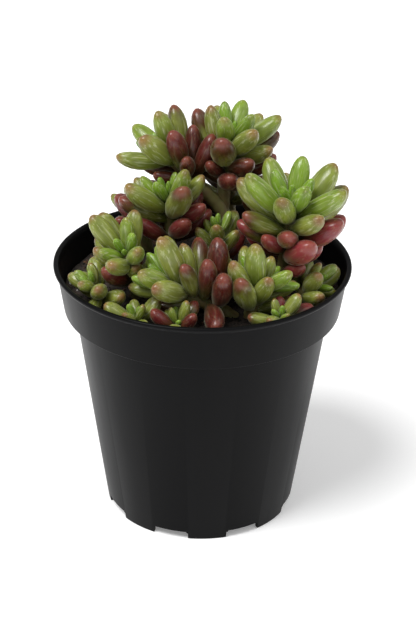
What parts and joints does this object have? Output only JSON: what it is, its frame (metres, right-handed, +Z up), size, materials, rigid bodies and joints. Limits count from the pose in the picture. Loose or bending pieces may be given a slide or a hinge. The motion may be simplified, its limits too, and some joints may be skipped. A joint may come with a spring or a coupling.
{
  "type": "potted jelly bean plant",
  "caption": "Jelly bean succulent with clusters of fat green and red bean-shaped leaves, in a round black plastic nursery pot with a stepped rim and a notched foot.",
  "frame": {"origin": "middle of the pot's foot, on the plane it stands on", "axes": "+Z up along the pot's axis, -Y towards the front, where the lowest shoots reach the rim"},
  "size_m": [0.105, 0.105, 0.1461],
  "materials": {
    "black_plastic": "satin moulded polypropylene, black",
    "potting_mix": null,
    "leaf_flesh": null
  },
  "bodies": {
    "root": {"pot": "black_plastic", "soil": "potting_mix", "shoot_back": "leaf_flesh", "shoot_rear": "leaf_flesh", "shoot_left": "leaf_flesh", "shoot_right": "leaf_flesh", "shoot_front_left": "leaf_flesh", "shoot_front": "leaf_flesh", "shoot_rear_right": "leaf_flesh", "shoot_rear_left": "leaf_flesh", "offset_left": "leaf_flesh", "offset_right": "leaf_flesh", "offset_front_left": "leaf_flesh", "offset_front_edge": "leaf_flesh", "offset_front_right": "leaf_flesh", "offset_middle": "leaf_flesh"}
  },
  "joints": []
}
